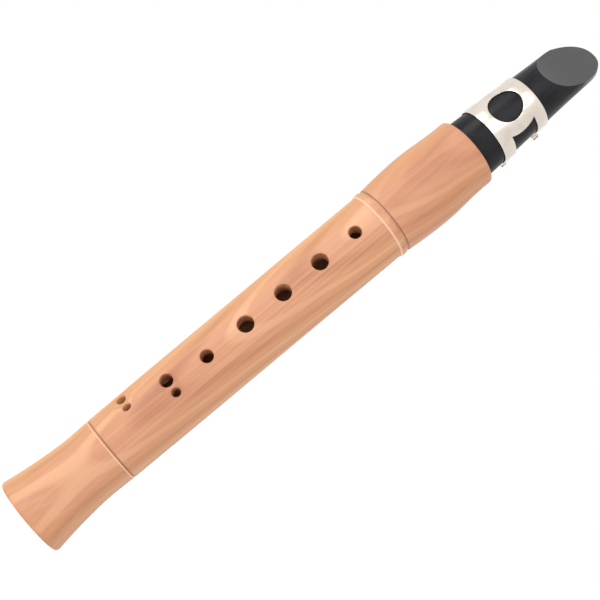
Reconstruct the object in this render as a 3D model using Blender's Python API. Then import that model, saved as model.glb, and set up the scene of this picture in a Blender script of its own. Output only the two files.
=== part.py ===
"""Pocket saxophone: a one-piece wooden tube with a clarinet-size mouthpiece, reed and two-screw ligature.

The instrument stands on its foot. +Z runs up the bore, the finger holes and the sloping beak face -Y,
and the reed, the ligature screws and the thumb hole face +Y. The origin is the centre of the foot's face.
"""

import math

import bmesh
import bpy
from mathutils import Matrix, Vector

MM = 0.001
GAP = 0.3 * MM
TAU = 2 * math.pi
CUTTER_REACH = 25 * MM
CUTTER_OVER = 3 * MM
FRONT = -math.pi / 2
BACK = math.pi / 2

# Wooden body, from the foot up
FOOT_RADIUS = 18.3 * MM
FOOT_EDGE_ROUND = 1.4 * MM
WAIST_RADIUS = 15.1 * MM
WAIST_Z = 33.0 * MM
FLARE_POWER = 1.65
FOOT_RING_Z = 43.6 * MM
FOOT_RING_RADIUS = 15.4 * MM
FOOT_RING_STEP = 0.35 * MM
FOOT_RING_WIDTH = 0.7 * MM
GRIP_LOW_RADIUS = 15.3 * MM
GRIP_HIGH_RADIUS = 15.98 * MM
BEAD_LOW_Z = 190.9 * MM
BEAD_HIGH_Z = 195.1 * MM
BEAD_RADIUS = 16.6 * MM
GROOVE_Z = 195.6 * MM
GROOVE_RADIUS = 16.05 * MM
BARREL_LOW_Z = 196.2 * MM
BARREL_LOW_RADIUS = 16.45 * MM
BARREL_WIDEST_Z = 217.5 * MM
BARREL_WIDEST_RADIUS = 17.62 * MM
BARREL_NECK_Z = 240.0 * MM
BARREL_NECK_RADIUS = 16.55 * MM
RIM_Z = 243.9 * MM
RIM_ROUND = 1.2 * MM
BORE_RADIUS = 7.3 * MM
BORE_CHAMFER = 0.8 * MM
SOCKET_RADIUS = 11.3 * MM
SOCKET_FLOOR_Z = 228.0 * MM
SOCKET_CHAMFER = 0.6 * MM
BODY_SIDES = 48

# Finger holes: (height, radius) of the single ones, (sideways shift, radius) in the two pairs
SINGLE_HOLES = (
    (179.7 * MM, 2.9 * MM),
    (160.2 * MM, 3.75 * MM),
    (139.9 * MM, 3.75 * MM),
    (119.4 * MM, 3.75 * MM),
    (98.5 * MM, 2.95 * MM),
)
RING_FINGER_Z = 79.3 * MM
RING_FINGER_LARGE = (-3.45 * MM, 2.95 * MM)
RING_FINGER_SMALL = (3.15 * MM, 2.05 * MM)
LITTLE_FINGER_Z = 59.9 * MM
LITTLE_FINGER_TURN = math.radians(-35.7)
LITTLE_FINGER_LARGE = (-3.05 * MM, 2.15 * MM)
LITTLE_FINGER_SMALL = (3.05 * MM, 2.0 * MM)
THUMB_HOLE_Z = 186.0 * MM
THUMB_HOLE_RADIUS = 3.0 * MM
HOLE_SIDES = 24
DRILL_START = 4.5 * MM
DRILL_END = 22 * MM
SCOOP_RADIUS = 9.6 * MM
SCOOP_DEPTH = 1.25 * MM
SCOOP_HALF_LENGTH = 9.0 * MM
SCOOP_SIDES = 64

# Mouthpiece, set a little to the left of the finger holes with all that it carries
HEAD_TURN = math.radians(-4.5)
TENON_LOW_Z = 228.5 * MM
TENON_RADIUS = 10.8 * MM
CORK_LOW_Z = 230.8 * MM
CORK_HIGH_Z = 241.2 * MM
CORK_RADIUS = 11.0 * MM
CORK_THICKNESS = 0.9 * MM
CORK_EDGE = 0.3 * MM
SHOULDER_Z = RIM_Z + GAP
SHOULDER_RADIUS = 14.15 * MM
SHOULDER_CHAMFER = 0.4 * MM
LIGATURE_SEAT_Z = 280.0 * MM
LIGATURE_SEAT_RADIUS = 12.45 * MM
BEAK_FOOT_Z = 291.0 * MM
BEAK_FOOT_RADIUS = 11.85 * MM
TIP_Z = 320.0 * MM
TIP_BODY_RADIUS = 10.6 * MM
THROAT_Z = 276.0 * MM
MOUTHPIECE_SIDES = 48
TABLE_LOW_Z = 250.5 * MM
TABLE_LOW_Y = 10.62 * MM
TABLE_SLOPE = -0.034
TABLE_RUN_OUT = 4 * MM
LAY_START_Z = 300.0 * MM
LAY_OPENING = 0.8 * MM
BEAK_TIP_Y = 6.9 * MM
BEAK_ANGLE = math.radians(28.6)
BEAK_STRAIGHT = 23.1 * MM
BEAK_HEEL_RADIUS = 60.0 * MM
BEAK_HEEL_TURN = math.radians(15.0)
TIP_OUTLINE_Z = 296.0 * MM
TIP_OUTLINE_HALF_WIDTH = 11.6 * MM
TIP_OUTLINE_POWER = 2.3
TIP_OUTLINE_LEAD = 2 * MM
WINDOW_LOW_Z = 286.5 * MM
WINDOW_HALF_WIDTH = 5.0 * MM
TIP_RAIL = 1.3 * MM
SIDE_RAIL = 1.1 * MM
CHAMBER_LOW_Z = 272.0 * MM
CHAMBER_HALF_DEPTH = 6.6 * MM
WINDOW_SLOPE = 2.5 * MM
CHAMBER_ROOF_Z = 293.0 * MM
ROOF_AT_TIP = 0.9 * MM
ROOF_AT_HEEL = 3.4 * MM

# Reed
REED_HEEL_Z = 252.0 * MM
REED_TIP_Z = 319.7 * MM
REED_THICKNESS = 2.6 * MM
REED_TIP_THICKNESS = 0.35 * MM
REED_VAMP_Z = 284.0 * MM
REED_HEEL_HALF_WIDTH = 5.8 * MM
REED_TIP_HALF_WIDTH = 6.5 * MM
REED_BARK_RADIUS = 12.4 * MM
REED_BARK_STEPS = 8
REED_VAMP_POWER = 0.85
REED_TIP_CURVE_Z = 312.0 * MM
REED_TIP_HEIGHTS = (315.0 * MM, 317.0 * MM, 318.4 * MM, 319.3 * MM)

# Ligature: a cone of thin sheet with punched windows, and its two screws
BAND_LOW_Z = 253.5 * MM
BAND_HIGH_Z = 279.5 * MM
BAND_LOW_RADIUS = 14.55 * MM
BAND_HIGH_RADIUS = 13.25 * MM
BAND_THICKNESS = 0.45 * MM
BAND_SIDES = 64
BAND_OPENING_HALF_WIDTH = 2.6 * MM
BAND_OPENING_Y = 5.0 * MM
ROUND_WINDOW_RADIUS = 7.85 * MM
DISC_RADIUS = 14.2 * MM
LOWER_STRAP_TOP_Z = 260.0 * MM
UPPER_STRAP_LOW_Z = 273.6 * MM
SIDE_WINDOW_END = math.radians(136)
SCREW_HEIGHTS = {"lower": 256.9 * MM, "upper": 276.4 * MM}
SCREW_Y = 16.3 * MM
SHANK_RADIUS = 1.0 * MM
SHANK_END_X = 9.5 * MM
SHANK_CHAMFER = 0.4 * MM
HEAD_RADIUS = 3.2 * MM
HEAD_INNER_X = -14.0 * MM
HEAD_OUTER_X = -19.0 * MM
HEAD_ROUND = 0.7 * MM
COLLAR_RADIUS = 1.9 * MM
COLLAR_INNER_X = -11.0 * MM
POST_RADIUS = 1.9 * MM
PLAIN_POST_X = (-10.6 * MM, -4.6 * MM)
PLAIN_POST_FOOT_X = -6.2 * MM
THREADED_POST_X = (4.3 * MM, 10.0 * MM)
THREADED_POST_FOOT_X = 5.9 * MM
POST_ROUND = 0.5 * MM
POST_FOOT_HALF_WIDTH = 1.4 * MM
POST_FOOT_LENGTH = 3.0 * MM
POST_FOOT_LOW_Y = 10.0 * MM
SCREW_SIDES = 24


def clear_scene():
    """Remove every object that the file starts with."""
    for item in list(bpy.data.objects):
        bpy.data.objects.remove(item, do_unlink=True)


def principled(name, colour, roughness, metallic=0.0):
    """A plain Principled material."""
    material = bpy.data.materials.new(name)
    material.use_nodes = True
    shader = material.node_tree.nodes["Principled BSDF"]
    shader.inputs["Base Color"].default_value = (*colour, 1.0)
    shader.inputs["Roughness"].default_value = roughness
    shader.inputs["Metallic"].default_value = metallic
    material.diffuse_color = (*colour, 1.0)
    return material


def add_object(name, shape, material=None, smooth_below=math.radians(35)):
    """Turn a bmesh into a linked object, smooth except at its sharp edges."""
    mesh = bpy.data.meshes.new(name)
    bmesh.ops.recalc_face_normals(shape, faces=shape.faces)
    shape.to_mesh(mesh)
    shape.free()
    mesh.shade_smooth()
    mesh.set_sharp_from_angle(angle=smooth_below)
    item = bpy.data.objects.new(name, mesh)
    bpy.context.scene.collection.objects.link(item)
    if material:
        mesh.materials.append(material)
    return item


def add_empty(name, place, parent=None):
    """An empty on a joint's axis, which carries the pieces that move there."""
    holder = bpy.data.objects.new(name, None)
    holder.empty_display_size = 10 * MM
    bpy.context.scene.collection.objects.link(holder)
    holder.location = place
    if parent:
        holder.parent = parent
        holder.location = Vector(place) - world_place(parent)
    return holder


def world_place(item):
    """Where an unturned object stands in the world, through its parents."""
    place = Vector(item.location)
    if item.parent:
        place += world_place(item.parent)
    return place


def carry(item, holder):
    """Hang a piece on an empty and move its origin there, leaving its shape in place."""
    origin = world_place(holder)
    item.data.transform(Matrix.Translation(-origin))
    item.parent = holder


def cut(target, cutter, operation="DIFFERENCE"):
    """Cut, join or trim a piece with another object, which is then hidden."""
    cutter.hide_render = True
    cutter.display_type = "WIRE"
    boolean = target.modifiers.new(cutter.name, "BOOLEAN")
    boolean.object = cutter
    boolean.operation = operation
    boolean.solver = "EXACT"


def turned(profile, sides, closed=True, axis="Z"):
    """Spin an outline of (radius, height) points round the Z axis, or round X for a screw."""
    shape = bmesh.new()
    points = [shape.verts.new((radius, 0, height)) for radius, height in profile]
    count = len(points)
    last = count if closed else count - 1
    edges = [shape.edges.new((points[i], points[(i + 1) % count])) for i in range(last)]
    bmesh.ops.spin(
        shape,
        geom=points + edges,
        cent=(0, 0, 0),
        axis=(0, 0, 1),
        angle=TAU,
        steps=sides,
        use_merge=True,
    )
    bmesh.ops.remove_doubles(shape, verts=shape.verts, dist=1e-6)
    bmesh.ops.dissolve_degenerate(shape, edges=shape.edges, dist=1e-7)
    if axis == "X":
        shape.transform(Matrix.Rotation(math.pi / 2, 4, "Y"))
    return shape


def loft(rings):
    """Join rings of equally many points into one closed solid."""
    shape = bmesh.new()
    loops = [[shape.verts.new(point) for point in ring] for ring in rings]
    for low, high in zip(loops, loops[1:]):
        for i in range(len(low)):
            j = (i + 1) % len(low)
            shape.faces.new((low[i], low[j], high[j], high[i]))
    shape.faces.new(reversed(loops[0]))
    shape.faces.new(loops[-1])
    return shape


def prism(outline, half_width):
    """Extrude an outline of (y, z) points to both sides along X."""
    return loft([[(x, y, z) for y, z in outline] for x in (-half_width, half_width)])


def merged(shapes):
    """Put several separate closed shapes into one mesh, for a cutter of many holes."""
    whole = bmesh.new()
    for shape in shapes:
        scratch = bpy.data.meshes.new("scratch")
        bmesh.ops.recalc_face_normals(shape, faces=shape.faces)
        shape.to_mesh(scratch)
        shape.free()
        whole.from_mesh(scratch)
        bpy.data.meshes.remove(scratch)
    return whole


def arc(centre, radius, start, end, steps):
    """Points along an arc in (radius, height) or (y, z) terms."""
    points = []
    for i in range(steps + 1):
        angle = start + (end - start) * i / steps
        points.append((centre[0] + radius * math.cos(angle), centre[1] + radius * math.sin(angle)))
    return points


def between(low, high, steps):
    """Evenly spaced values from low to high, both included."""
    return [low + (high - low) * i / steps for i in range(steps + 1)]


def flare_radius(z):
    """Outer radius of the flared foot at a height below the waist."""
    share = 1 - z / WAIST_Z
    return WAIST_RADIUS + (FOOT_RADIUS - WAIST_RADIUS) * share**FLARE_POWER


def barrel_radius(z):
    """Outer radius of the swelling round the socket."""
    if z < BARREL_WIDEST_Z:
        share = (z - BARREL_LOW_Z) / (BARREL_WIDEST_Z - BARREL_LOW_Z)
        return BARREL_LOW_RADIUS + (BARREL_WIDEST_RADIUS - BARREL_LOW_RADIUS) * math.sin(share * math.pi / 2)
    share = (z - BARREL_WIDEST_Z) / (BARREL_NECK_Z - BARREL_WIDEST_Z)
    swell = 0.5 + 0.5 * math.cos(share * math.pi)
    return BARREL_NECK_RADIUS + (BARREL_WIDEST_RADIUS - BARREL_NECK_RADIUS) * swell


def bead_point(share):
    """A point on the rounded bead, from its lower edge to the groove above it."""
    base = GRIP_HIGH_RADIUS + (GROOVE_RADIUS - GRIP_HIGH_RADIUS) * share
    crown = math.sin(math.pi * share) ** 0.7
    return base + (BEAD_RADIUS - base) * crown, BEAD_LOW_Z + (BEAD_HIGH_Z - BEAD_LOW_Z) * share


def body_profile():
    """The tube's section: up the outside from the foot, then down the socket and the bore."""
    edge_z = FOOT_EDGE_ROUND
    edge_radius = flare_radius(edge_z)
    points = arc((edge_radius - FOOT_EDGE_ROUND, edge_z), FOOT_EDGE_ROUND, FRONT, 0, 4)
    points += [(flare_radius(z), z) for z in between(edge_z, WAIST_Z, 9)[1:]]
    ring_low = FOOT_RING_Z - FOOT_RING_WIDTH
    groove_high = FOOT_RING_Z + FOOT_RING_WIDTH
    points += [
        (FOOT_RING_RADIUS, ring_low),
        (FOOT_RING_RADIUS - FOOT_RING_STEP, FOOT_RING_Z),
        (GRIP_LOW_RADIUS, groove_high),
        (GRIP_HIGH_RADIUS, BEAD_LOW_Z),
    ]
    points += [bead_point(share) for share in between(0, 1, 6)[1:-1]]
    points += [(GROOVE_RADIUS, BEAD_HIGH_Z), (GROOVE_RADIUS, GROOVE_Z)]
    points += [(barrel_radius(z), z) for z in between(BARREL_LOW_Z, BARREL_WIDEST_Z, 6)]
    points += [(barrel_radius(z), z) for z in between(BARREL_WIDEST_Z, BARREL_NECK_Z, 7)[1:]]
    points += arc((BARREL_NECK_RADIUS - RIM_ROUND, RIM_Z - RIM_ROUND), RIM_ROUND, 0, BACK, 4)
    points += [
        (SOCKET_RADIUS + SOCKET_CHAMFER, RIM_Z),
        (SOCKET_RADIUS, RIM_Z - SOCKET_CHAMFER),
        (SOCKET_RADIUS, SOCKET_FLOOR_Z),
        (BORE_RADIUS, SOCKET_FLOOR_Z),
        (BORE_RADIUS, BORE_CHAMFER),
        (BORE_RADIUS + BORE_CHAMFER, 0),
    ]
    return points


def drill(radius, z, shift=0.0, turn=0.0):
    """A round cutter that enters the tube from outside and ends inside the bore."""
    shape = bmesh.new()
    bmesh.ops.create_cone(
        shape,
        cap_ends=True,
        segments=HOLE_SIDES,
        radius1=radius,
        radius2=radius,
        depth=DRILL_END - DRILL_START,
        matrix=Matrix.Rotation(turn, 4, "Z")
        @ Matrix.Translation((shift, -(DRILL_START + DRILL_END) / 2, z))
        @ Matrix.Rotation(math.pi / 2, 4, "X"),
    )
    return shape


def scoop(z, turn=0.0):
    """A cutter for the shallow dish round a pair of holes: a cylinder that lies across the tube."""
    surface = GRIP_LOW_RADIUS + (GRIP_HIGH_RADIUS - GRIP_LOW_RADIUS) * z / BEAD_LOW_Z
    shape = bmesh.new()
    bmesh.ops.create_cone(
        shape,
        cap_ends=True,
        segments=SCOOP_SIDES,
        radius1=SCOOP_RADIUS,
        radius2=SCOOP_RADIUS,
        depth=2 * SCOOP_HALF_LENGTH,
        matrix=Matrix.Rotation(turn, 4, "Z")
        @ Matrix.Translation((0, -(surface - SCOOP_DEPTH + SCOOP_RADIUS), z))
        @ Matrix.Rotation(math.pi / 2, 4, "Y"),
    )
    return shape


def make_body(wood):
    """The wooden tube with its holes, dishes, bore and socket."""
    body = add_object("body_tube", turned(body_profile(), BODY_SIDES), wood)
    dishes = [scoop(RING_FINGER_Z), scoop(LITTLE_FINGER_Z, LITTLE_FINGER_TURN)]
    cut(body, add_object("scoop_cutter", merged(dishes)))
    holes = [drill(radius, z) for z, radius in SINGLE_HOLES]
    for shift, radius in (RING_FINGER_LARGE, RING_FINGER_SMALL):
        holes.append(drill(radius, RING_FINGER_Z, shift))
    for shift, radius in (LITTLE_FINGER_LARGE, LITTLE_FINGER_SMALL):
        holes.append(drill(radius, LITTLE_FINGER_Z, shift, LITTLE_FINGER_TURN))
    holes.append(drill(THUMB_HOLE_RADIUS, THUMB_HOLE_Z, turn=math.pi))
    cut(body, add_object("finger_hole_cutter", merged(holes)))
    return body


def table_y(z):
    """The flat table that the reed lies on."""
    return TABLE_LOW_Y + TABLE_SLOPE * (z - TABLE_LOW_Z)


def lay_y(z):
    """The table and, near the tip, the facing that curves away from the reed."""
    share = max(0.0, (z - LAY_START_Z) / (TIP_Z - LAY_START_Z))
    return table_y(z) - LAY_OPENING * share**2


def beak_line():
    """The beak's slope in (y, z), from above the tip down to the heel: straight, then slightly hollow."""
    along = Vector((-math.sin(BEAK_ANGLE), -math.cos(BEAK_ANGLE)))
    tip = Vector((BEAK_TIP_Y, TIP_Z))
    points = [tip - along * CUTTER_OVER, tip + along * BEAK_STRAIGHT]
    outward = Vector((-math.cos(BEAK_ANGLE), math.sin(BEAK_ANGLE)))
    centre = points[-1] + outward * BEAK_HEEL_RADIUS
    for turn in between(0, BEAK_HEEL_TURN, 5)[1:]:
        radial = Vector((math.cos(BEAK_ANGLE + turn), -math.sin(BEAK_ANGLE + turn)))
        points.append(centre + radial * BEAK_HEEL_RADIUS)
    return [tuple(point) for point in points]


def beak_y(z):
    """The beak's slope as depth at a height, read along its line."""
    points = beak_line()
    for (high_y, high_z), (low_y, low_z) in zip(points, points[1:]):
        if z >= low_z:
            return low_y + (high_y - low_y) * (z - low_z) / (high_z - low_z)
    return points[-1][0]


def tip_half_width(z):
    """Half the mouthpiece's width near the rounded tip, seen from the front."""
    share = min(1.0, max(0.0, (z - TIP_OUTLINE_Z) / (TIP_Z - TIP_OUTLINE_Z)))
    return TIP_OUTLINE_HALF_WIDTH * (1 - share**TIP_OUTLINE_POWER) ** (1 / TIP_OUTLINE_POWER)


def mouthpiece_profile():
    """The mouthpiece as a lathe leaves it: blind bore, tenon with its cork groove, shoulder, cone."""
    groove = CORK_RADIUS - CORK_THICKNESS - GAP
    return [
        (0, THROAT_Z),
        (BORE_RADIUS, THROAT_Z),
        (BORE_RADIUS, TENON_LOW_Z),
        (TENON_RADIUS - SHOULDER_CHAMFER, TENON_LOW_Z),
        (TENON_RADIUS, TENON_LOW_Z + SHOULDER_CHAMFER),
        (TENON_RADIUS, CORK_LOW_Z - GAP),
        (groove, CORK_LOW_Z - GAP),
        (groove, CORK_HIGH_Z + GAP),
        (TENON_RADIUS, CORK_HIGH_Z + GAP),
        (TENON_RADIUS, SHOULDER_Z),
        (SHOULDER_RADIUS - SHOULDER_CHAMFER, SHOULDER_Z),
        (SHOULDER_RADIUS, SHOULDER_Z + SHOULDER_CHAMFER),
        (LIGATURE_SEAT_RADIUS, LIGATURE_SEAT_Z),
        (BEAK_FOOT_RADIUS, BEAK_FOOT_Z),
        (TIP_BODY_RADIUS, TIP_Z + CUTTER_OVER),
        (0, TIP_Z + CUTTER_OVER),
    ]


def table_cutter():
    """All that lies behind the table and the curved facing."""
    low_z = TABLE_LOW_Z - TABLE_RUN_OUT
    high_z = TIP_Z + CUTTER_OVER
    outline = [(table_y(TABLE_LOW_Z) + TABLE_RUN_OUT, low_z), (lay_y(TABLE_LOW_Z), TABLE_LOW_Z)]
    outline += [(lay_y(z), z) for z in between(LAY_START_Z, high_z, 6)]
    outline += [(CUTTER_REACH, high_z), (CUTTER_REACH, low_z)]
    return prism(outline, CUTTER_REACH)


def tip_trimmer():
    """The mouthpiece's outline from the front, as a block to keep what lies inside it."""
    far = CUTTER_REACH
    right = []
    for turn in between(0, math.pi / 2, 14):
        z = TIP_OUTLINE_Z + (TIP_Z - TIP_OUTLINE_Z) * math.sin(turn)
        right.append((tip_half_width(z), z))
    outline = [(far, TENON_LOW_Z - far), (far, TIP_OUTLINE_Z - TIP_OUTLINE_LEAD)] + right
    outline += [(-x, z) for x, z in reversed(outline[:-1])]
    return loft([[(x, y, z) for x, z in outline] for y in (far, -far)])


def chamber_cutter():
    """The tone chamber under the beak, open through the window in the table."""
    rings = []
    heights = [CHAMBER_LOW_Z, WINDOW_LOW_Z, WINDOW_LOW_Z + WINDOW_SLOPE]
    heights += between(CHAMBER_ROOF_Z, TIP_Z - TIP_RAIL, 9)
    for z in heights:
        share = min(1.0, (TIP_Z - z) / (TIP_Z - BEAK_FOOT_Z))
        roof = ROOF_AT_TIP + (ROOF_AT_HEEL - ROOF_AT_TIP) * share
        front = max(-CHAMBER_HALF_DEPTH, beak_y(z) + roof)
        back = CHAMBER_HALF_DEPTH if z <= WINDOW_LOW_Z else table_y(z) + CUTTER_OVER
        half = min(WINDOW_HALF_WIDTH, tip_half_width(z + TIP_RAIL * 0.6) - SIDE_RAIL)
        rings.append([(-half, front, z), (half, front, z), (half, back, z), (-half, back, z)])
    return loft(rings)


def make_mouthpiece(ebonite, holder):
    """The beaked mouthpiece, with table, facing, window and chamber."""
    piece = add_object("mouthpiece", turned(mouthpiece_profile(), MOUTHPIECE_SIDES, closed=False), ebonite)
    points = beak_line()
    front = points + [(-CUTTER_REACH, points[-1][1]), (-CUTTER_REACH, points[0][1])]
    cutters = [
        add_object("beak_cutter", prism(front, CUTTER_REACH)),
        add_object("table_cutter", table_cutter()),
        add_object("chamber_cutter", chamber_cutter()),
    ]
    for cutter in cutters:
        carry(cutter, holder)
        cut(piece, cutter)
    trimmer = add_object("tip_trimmer", tip_trimmer())
    carry(trimmer, holder)
    cut(piece, trimmer, "INTERSECT")
    carry(piece, holder)
    return piece


def make_cork(cork, holder):
    """The cork ring in the tenon's groove."""
    inner = CORK_RADIUS - CORK_THICKNESS
    profile = [
        (inner, CORK_LOW_Z),
        (CORK_RADIUS - CORK_EDGE, CORK_LOW_Z),
        (CORK_RADIUS, CORK_LOW_Z + CORK_EDGE),
        (CORK_RADIUS, CORK_HIGH_Z - CORK_EDGE),
        (CORK_RADIUS - CORK_EDGE, CORK_HIGH_Z),
        (inner, CORK_HIGH_Z),
    ]
    piece = add_object("tenon_cork", turned(profile, MOUTHPIECE_SIDES), cork)
    carry(piece, holder)
    return piece


def reed_ring(z):
    """The reed's section at a height: flat against the table, round on the bark side."""
    share = (z - REED_HEEL_Z) / (REED_TIP_Z - REED_HEEL_Z)
    half = REED_HEEL_HALF_WIDTH + (REED_TIP_HALF_WIDTH - REED_HEEL_HALF_WIDTH) * share
    half = min(half, tip_half_width(z + TIP_Z - REED_TIP_Z) - GAP)
    vamp = max(0.0, (z - REED_VAMP_Z) / (REED_TIP_Z - REED_VAMP_Z))
    top = REED_THICKNESS + (REED_TIP_THICKNESS - REED_THICKNESS) * vamp**REED_VAMP_POWER
    flat = table_y(z) + GAP
    ring = [(half, flat, z), (-half, flat, z)]
    for x in between(-half, half, REED_BARK_STEPS):
        drop = REED_BARK_RADIUS - math.sqrt(REED_BARK_RADIUS**2 - x**2)
        thickness = max(top - drop, min(top, REED_TIP_THICKNESS))
        ring.append((x, flat + thickness, z))
    return ring


def make_reed(cane, holder):
    """The cane reed that lies on the table, its tip matched to the mouthpiece's."""
    heights = [REED_HEEL_Z] + between(REED_VAMP_Z, REED_TIP_CURVE_Z, 6) + list(REED_TIP_HEIGHTS)
    piece = add_object("reed", loft([reed_ring(z) for z in heights]), cane)
    carry(piece, holder)
    return piece


def band_radius(z):
    """Outer radius of the ligature's cone."""
    share = (z - BAND_LOW_Z) / (BAND_HIGH_Z - BAND_LOW_Z)
    return BAND_LOW_RADIUS + (BAND_HIGH_RADIUS - BAND_LOW_RADIUS) * share


def punched(outline):
    """A cutter for a window drawn on the unrolled sheet, as (angle from the front, height) points."""
    rings = []
    for radius in (CUTTER_OVER, CUTTER_REACH):
        rings.append([(radius * math.sin(angle), -radius * math.cos(angle), z) for angle, z in outline])
    return loft(rings)


def round_window():
    """The round window at the front, as an outline on the unrolled sheet."""
    middle_z = (BAND_LOW_Z + BAND_HIGH_Z) / 2
    middle_radius = band_radius(middle_z)
    points = arc((0, middle_z), ROUND_WINDOW_RADIUS, 0, TAU, 40)[:-1]
    return [(u / middle_radius, z) for u, z in points]


def side_window(side):
    """A window between the two straps, from the disc round the front window to the screw plate."""
    middle_z = (BAND_LOW_Z + BAND_HIGH_Z) / 2
    middle_radius = band_radius(middle_z)
    low = math.asin((LOWER_STRAP_TOP_Z - middle_z) / DISC_RADIUS)
    high = math.asin((UPPER_STRAP_LOW_Z - middle_z) / DISC_RADIUS)
    points = arc((0, middle_z), DISC_RADIUS, low, high, 8)
    outline = [(side * u / middle_radius, z) for u, z in points]
    outline += [(side * SIDE_WINDOW_END, UPPER_STRAP_LOW_Z), (side * SIDE_WINDOW_END, LOWER_STRAP_TOP_Z)]
    return outline


def make_band(nickel, holder):
    """The ligature's band, open over the middle of the reed."""
    inner_low = BAND_LOW_RADIUS - BAND_THICKNESS
    inner_high = BAND_HIGH_RADIUS - BAND_THICKNESS
    profile = [
        (inner_low, BAND_LOW_Z),
        (BAND_LOW_RADIUS, BAND_LOW_Z),
        (BAND_HIGH_RADIUS, BAND_HIGH_Z),
        (inner_high, BAND_HIGH_Z),
    ]
    piece = add_object("ligature_band", turned(profile, BAND_SIDES), nickel)
    low_z = BAND_LOW_Z - CUTTER_OVER
    high_z = BAND_HIGH_Z + CUTTER_OVER
    gap_outline = [
        (BAND_OPENING_Y, low_z),
        (CUTTER_REACH, low_z),
        (CUTTER_REACH, high_z),
        (BAND_OPENING_Y, high_z),
    ]
    opening = prism(gap_outline, BAND_OPENING_HALF_WIDTH)
    shapes = [punched(round_window()), punched(side_window(1)), punched(side_window(-1)), opening]
    cutter = add_object("band_window_cutter", merged(shapes))
    carry(cutter, holder)
    cut(piece, cutter)
    carry(piece, holder)
    return piece


def make_post(name, span, foot_x, screw_z, nickel, holder):
    """A small barrel for a ligature screw, on a foot that sits on the band."""
    low, high = span
    profile = [
        (0, low),
        (POST_RADIUS - POST_ROUND, low),
        (POST_RADIUS, low + POST_ROUND),
        (POST_RADIUS, high - POST_ROUND),
        (POST_RADIUS - POST_ROUND, high),
        (0, high),
    ]
    barrel = turned(profile, SCREW_SIDES, closed=False, axis="X")
    barrel.transform(Matrix.Translation((0, SCREW_Y, screw_z)))
    piece = add_object(name, barrel, nickel)
    outline = [
        (POST_FOOT_LOW_Y, screw_z - POST_FOOT_HALF_WIDTH),
        (SCREW_Y, screw_z - POST_FOOT_HALF_WIDTH),
        (SCREW_Y, screw_z + POST_FOOT_HALF_WIDTH),
        (POST_FOOT_LOW_Y, screw_z + POST_FOOT_HALF_WIDTH),
    ]
    foot = prism(outline, POST_FOOT_LENGTH / 2)
    foot.transform(Matrix.Translation((foot_x, 0, 0)))
    foot_block = add_object(name + "_foot_shape", foot)
    cut(piece, foot_block, "UNION")
    cone_low = BAND_LOW_Z - CUTTER_OVER
    cone_high = BAND_HIGH_Z + CUTTER_OVER
    cone = [
        (0, cone_low),
        (band_radius(cone_low) + GAP, cone_low),
        (band_radius(cone_high) + GAP, cone_high),
        (0, cone_high),
    ]
    seat = add_object(name + "_seat_cutter", turned(cone, BAND_SIDES, closed=False))
    hole_radius = SHANK_RADIUS + GAP
    hole_low = low - CUTTER_OVER
    hole_high = high + CUTTER_OVER
    hole = [(0, hole_low), (hole_radius, hole_low), (hole_radius, hole_high), (0, hole_high)]
    hole_shape = turned(hole, SCREW_SIDES, closed=False, axis="X")
    hole_shape.transform(Matrix.Translation((0, SCREW_Y, screw_z)))
    hole_cutter = add_object(name + "_hole_cutter", hole_shape)
    for cutter in (seat, hole_cutter):
        cut(piece, cutter)
    for item in (foot_block, seat, hole_cutter, piece):
        carry(item, holder)
    return piece


def make_screw(name, screw_z, nickel, holder):
    """A ligature thumbscrew: round head, collar and plain shank."""
    profile = [
        (0, HEAD_OUTER_X),
        (HEAD_RADIUS - HEAD_ROUND, HEAD_OUTER_X),
        (HEAD_RADIUS, HEAD_OUTER_X + HEAD_ROUND),
        (HEAD_RADIUS, HEAD_INNER_X - HEAD_ROUND / 2),
        (HEAD_RADIUS - HEAD_ROUND / 2, HEAD_INNER_X),
        (COLLAR_RADIUS, HEAD_INNER_X),
        (COLLAR_RADIUS, COLLAR_INNER_X),
        (SHANK_RADIUS, COLLAR_INNER_X),
        (SHANK_RADIUS, SHANK_END_X - SHANK_CHAMFER),
        (SHANK_RADIUS - SHANK_CHAMFER, SHANK_END_X),
        (0, SHANK_END_X),
    ]
    shape = turned(profile, SCREW_SIDES, closed=False, axis="X")
    shape.transform(Matrix.Translation((0, SCREW_Y, screw_z)))
    piece = add_object(name, shape, nickel)
    carry(piece, holder)
    return piece


def main():
    clear_scene()
    wood = principled("pear_wood", (0.76, 0.44, 0.26), 0.45)
    ebonite = principled("black_ebonite", (0.015, 0.015, 0.018), 0.3)
    cork = principled("cork", (0.55, 0.36, 0.2), 0.8)
    cane = principled("cane", (0.82, 0.66, 0.36), 0.5)
    nickel = principled("nickel", (0.82, 0.77, 0.7), 0.3, 1.0)

    mouthpiece_axis = add_empty("mouthpiece_axis", (0, 0, SHOULDER_Z))
    ligature_axis = add_empty("ligature_axis", (0, 0, BAND_LOW_Z), mouthpiece_axis)
    reed_axis = add_empty("reed_axis", (0, table_y(REED_HEEL_Z), REED_HEEL_Z), mouthpiece_axis)

    make_body(wood)
    make_cork(cork, mouthpiece_axis)
    make_mouthpiece(ebonite, mouthpiece_axis)
    make_reed(cane, reed_axis)
    make_band(nickel, ligature_axis)
    for level, screw_z in SCREW_HEIGHTS.items():
        screw_axis = add_empty(f"{level}_screw_axis", (0, SCREW_Y, screw_z), ligature_axis)
        make_screw(f"{level}_ligature_screw", screw_z, nickel, screw_axis)
        make_post(f"{level}_plain_post", PLAIN_POST_X, PLAIN_POST_FOOT_X, screw_z, nickel, ligature_axis)
        threaded = f"{level}_threaded_post"
        make_post(threaded, THREADED_POST_X, THREADED_POST_FOOT_X, screw_z, nickel, ligature_axis)
    mouthpiece_axis.rotation_euler.z = HEAD_TURN


main()
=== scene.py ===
"""Dressed model of a pocket saxophone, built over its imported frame.

The tube stands on its foot with +Z up the bore. The finger holes and the beak face -Y.
"""

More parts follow.
